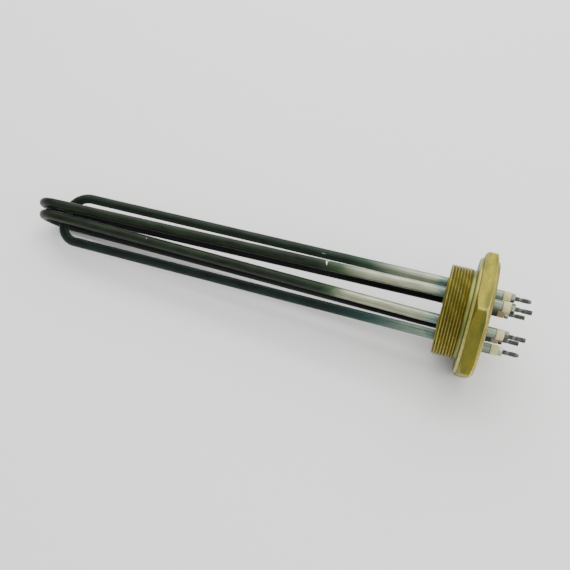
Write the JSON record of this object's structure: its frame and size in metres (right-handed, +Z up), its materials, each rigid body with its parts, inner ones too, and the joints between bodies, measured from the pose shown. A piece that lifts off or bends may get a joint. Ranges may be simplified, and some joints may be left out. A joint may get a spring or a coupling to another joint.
{
  "type": "screw-in immersion heater",
  "caption": "Immersion heater: hairpin heating tubes in a brass hexagon plug with a parallel pipe thread, with threaded terminals behind insulating bushes.",
  "frame": {"origin": "on the heater's axis, at the end of the thread beside the relief groove, 3.2 mm from the sealing face", "axes": "+X along the axis towards the terminals, the heating tubes run towards -X; +Z up, square to one flat of the hexagon; +Y completes the right-handed frame"},
  "size_m": [0.4364, 0.112, 0.097],
  "materials": {
    "plug_brass": "turned and milled, slightly tarnished",
    "tube_steel": "dark oxide in the heated zone, satin grey near the plug",
    "stud_steel": "dull, threaded",
    "bush_ceramic": "matt, unglazed",
    "nut_steel": "plated, satin"
  },
  "bodies": {
    "root": {"screw_plug": "plug_brass", "centre_heating_tube": "tube_steel", "upper_heating_tube": "tube_steel", "lower_heating_tube": "tube_steel", "terminal_stud_1": "stud_steel", "terminal_stud_2": "stud_steel", "terminal_stud_3": "stud_steel", "terminal_stud_4": "stud_steel", "terminal_stud_5": "stud_steel", "terminal_stud_6": "stud_steel", "insulating_bush_1": "bush_ceramic", "insulating_bush_2": "bush_ceramic", "insulating_bush_3": "bush_ceramic", "insulating_bush_4": "bush_ceramic", "insulating_bush_5": "bush_ceramic", "insulating_bush_6": "bush_ceramic", "terminal_nuts": "nut_steel"}
  },
  "joints": []
}
